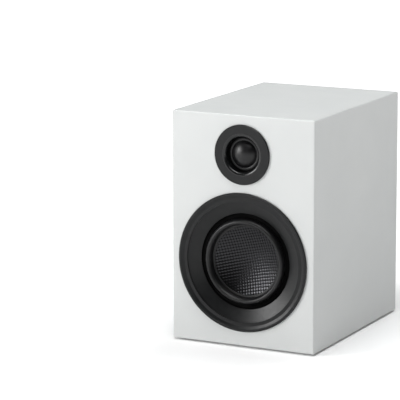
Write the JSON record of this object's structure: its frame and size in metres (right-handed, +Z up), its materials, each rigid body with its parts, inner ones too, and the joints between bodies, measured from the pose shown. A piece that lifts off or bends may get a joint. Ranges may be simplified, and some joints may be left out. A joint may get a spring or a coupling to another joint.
{
  "type": "bookshelf speaker",
  "caption": "Compact two-way bookshelf speaker in a white cabinet, with a dished trim ring round a woven-cone woofer, a dome tweeter over it, and a rear port and binding posts.",
  "frame": {"origin": "centre of the speaker's footprint, front trim and rear knobs included, on the plane under its four pads", "axes": "+Z up, the front faces -Y, +X is at the right as seen from in front"},
  "size_m": [0.12, 0.1666, 0.1805],
  "materials": {
    "white_lacquer": "satin white lacquer over fibreboard, with very fine orange peel",
    "raw_mdf": "bare medium-density fibreboard",
    "black_rubber": "soft matt black rubber",
    "damping_wool": "needled polyester wadding",
    "black_moulding": "satin black moulded plastic",
    "black_steel": "black powder-coated pressed steel",
    "spider_cloth": "resin-stiffened amber cotton cloth",
    "woven_carbon": "glossy black woven fibre in clear resin, plain weave",
    "coil_former": "amber glass-fibre laminate",
    "copper_wire": "enamelled copper winding",
    "zinc_steel": "zinc-plated steel",
    "ferrite": "dark grey sintered ferrite",
    "silk_dome": "black coated silk",
    "gold_plate": "gold-plated brass",
    "red_plastic": "red moulded plastic",
    "black_knob": "black moulded plastic",
    "circuit_board": "green solder-masked laminate",
    "capacitor_film": "yellow film wrap with resin ends",
    "cement": "white ceramic and cement",
    "cable_jacket": "black flexible cable jacket"
  },
  "bodies": {
    "cabinet": {"attenuator_resistor": "cement", "binding_post_black": "gold_plate", "binding_post_red": "gold_plate", "bottom_panel": "white_lacquer", "cabinet_brace": "raw_mdf", "crossover_board": "circuit_board", "damping_pad": "damping_wool", "foot_front_left": "black_rubber", "foot_front_right": "black_rubber", "foot_rear_left": "black_rubber", "foot_rear_right": "black_rubber", "front_baffle": "white_lacquer", "left_side_panel": "white_lacquer", "post_nut_black": "zinc_steel", "post_nut_red": "zinc_steel", "rear_panel": "white_lacquer", "reflex_port": "black_moulding", "right_side_panel": "white_lacquer", "terminal_cup": "black_moulding", "terminal_screw_1": "zinc_steel", "terminal_screw_2": "zinc_steel", "terminal_screw_3": "zinc_steel", "terminal_screw_4": "zinc_steel", "top_panel": "white_lacquer", "tweeter_capacitor": "capacitor_film", "tweeter_chassis": "black_moulding", "tweeter_inductor": "copper_wire", "tweeter_lead": "cable_jacket", "tweeter_magnet": "ferrite", "tweeter_pole_plate": "zinc_steel", "tweeter_screw_1": "zinc_steel", "tweeter_screw_2": "zinc_steel", "tweeter_surround": "silk_dome", "tweeter_trim_plate": "black_moulding", "tweeter_yoke": "zinc_steel", "woofer_basket": "black_steel", "woofer_capacitor": "capacitor_film", "woofer_gasket": "black_rubber", "woofer_inductor": "copper_wire", "woofer_lead": "cable_jacket", "woofer_magnet": "ferrite", "woofer_screw_1": "zinc_steel", "woofer_screw_2": "zinc_steel", "woofer_screw_3": "zinc_steel", "woofer_screw_4": "zinc_steel", "woofer_spider": "spider_cloth", "woofer_surround": "black_rubber", "woofer_terminal_strip": "coil_former", "woofer_top_plate": "zinc_steel", "woofer_trim_ring": "black_moulding", "woofer_yoke": "zinc_steel"},
    "woofer_diaphragm": {"woofer_cone": "woven_carbon", "woofer_coil_former": "coil_former", "woofer_voice_coil": "copper_wire"},
    "tweeter_diaphragm": {"tweeter_dome": "silk_dome", "tweeter_voice_coil": "copper_wire"},
    "red_washer": {"clamp_washer_red": "gold_plate"},
    "red_knob": {"knob_red": "red_plastic"},
    "black_washer": {"clamp_washer_black": "gold_plate"},
    "black_knob": {"knob_black": "black_knob"}
  },
  "joints": [
    {"name": "woofer_travel", "type": "slide", "parent": "cabinet", "child": "woofer_diaphragm", "axis": [0, -1, 0], "range_m": [-0.003, 0.003], "stiffness_N_per_m": 1000, "deforming": ["woofer_surround", "woofer_spider"]},
    {"name": "tweeter_travel", "type": "slide", "parent": "cabinet", "child": "tweeter_diaphragm", "axis": [0, -1, 0], "range_m": [-0.0003, 0.0003], "stiffness_N_per_m": 2000, "deforming": ["tweeter_surround"]},
    {"name": "red_knob_lift", "type": "slide", "parent": "cabinet", "child": "red_washer", "axis": [0, 1, 0], "range_m": [0, 0.0024]},
    {"name": "red_knob_turn", "type": "hinge", "parent": "red_washer", "child": "red_knob", "pos_m": [-0.012, 0.0732, 0.0455], "axis": [0, 1, 0], "range_deg": [0, 1080]},
    {"name": "black_knob_lift", "type": "slide", "parent": "cabinet", "child": "black_washer", "axis": [0, 1, 0], "range_m": [0, 0.0024]},
    {"name": "black_knob_turn", "type": "hinge", "parent": "black_washer", "child": "black_knob", "pos_m": [0.012, 0.0732, 0.0455], "axis": [0, 1, 0], "range_deg": [0, 1080]}
  ],
  "couplings": [
    {"joint": "red_knob_turn", "follows": "red_knob_lift", "rad_per_m": 7854},
    {"joint": "black_knob_turn", "follows": "black_knob_lift", "rad_per_m": 7854}
  ]
}
